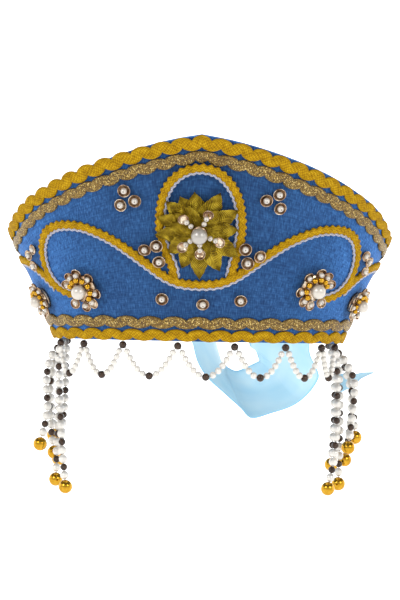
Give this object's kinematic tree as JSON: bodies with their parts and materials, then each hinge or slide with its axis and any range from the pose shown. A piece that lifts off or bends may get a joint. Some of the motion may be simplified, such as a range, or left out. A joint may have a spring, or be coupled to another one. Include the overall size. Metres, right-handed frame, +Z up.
{
  "type": "kokoshnik headdress",
  "caption": "Flared, peaked headdress front in blue cloth with gold braid scrolls, a leaf brooch, pearl flowers, a beaded garland, temple strands and a satin tie",
  "frame": {"origin": "middle of the head opening, at the level of the wall's lower rim", "axes": "+Z up, the front of the headdress faces -Y, +X is the right side seen from the front"},
  "size_m": [0.215, 0.2556, 0.1983],
  "materials": {
    "blue_cloth": "matte woven cloth",
    "yellow_braid": "woven rick-rack and braid",
    "gold_lurex": "glittering metallic thread",
    "silver_cord": "silver thread",
    "gold_leaf": "stamped, satin",
    "champagne": "polished sequin",
    "pearl": "pearl lacquer",
    "bead_string": "pearls and brown beads on a thread",
    "sky_satin": "satin"
  },
  "bodies": {
    "root": {"brooch_arms": "champagne", "brooch_leaves": "gold_leaf", "brooch_pearl": "pearl", "crown": "blue_cloth", "edging_left": "silver_cord", "edging_loop": "silver_cord", "edging_right": "silver_cord", "flower_front_left": "champagne", "flower_front_left_pearl": "pearl", "flower_front_right": "champagne", "flower_front_right_pearl": "pearl", "flower_side_left": "champagne", "flower_side_right": "champagne", "garland": "bead_string", "ribbon_knot": "sky_satin", "ribbon_tail": "sky_satin", "ribbon_tie_left": "sky_satin", "ribbon_tie_right": "sky_satin", "scroll_left": "yellow_braid", "scroll_loop": "yellow_braid", "scroll_right": "yellow_braid", "side_scroll_left": "yellow_braid", "side_scroll_right": "yellow_braid", "spangle_01": "champagne", "spangle_02": "champagne", "spangle_03": "champagne", "spangle_04": "champagne", "spangle_05": "champagne", "spangle_06": "champagne", "spangle_07": "champagne", "spangle_08": "champagne", "spangle_09": "champagne", "spangle_10": "champagne", "spangle_11": "champagne", "spangle_12": "champagne", "spangle_13": "champagne", "spangle_14": "champagne", "spangle_15": "champagne", "spangle_16": "champagne", "spangle_17": "champagne", "spangle_18": "champagne", "spangle_19": "champagne", "spangle_20": "champagne", "spangle_21": "champagne", "strand_left_1": "bead_string", "strand_left_2": "bead_string", "strand_left_3": "bead_string", "strand_left_4": "bead_string", "strand_left_5": "bead_string", "strand_left_6": "bead_string", "strand_right_1": "bead_string", "strand_right_2": "bead_string", "strand_right_3": "bead_string", "strand_right_4": "bead_string", "strand_right_5": "bead_string", "strand_right_6": "bead_string", "trim_bottom_gold": "gold_lurex", "trim_bottom_yellow": "yellow_braid", "trim_top_gold": "gold_lurex", "trim_top_yellow": "yellow_braid"}
  },
  "joints": []
}
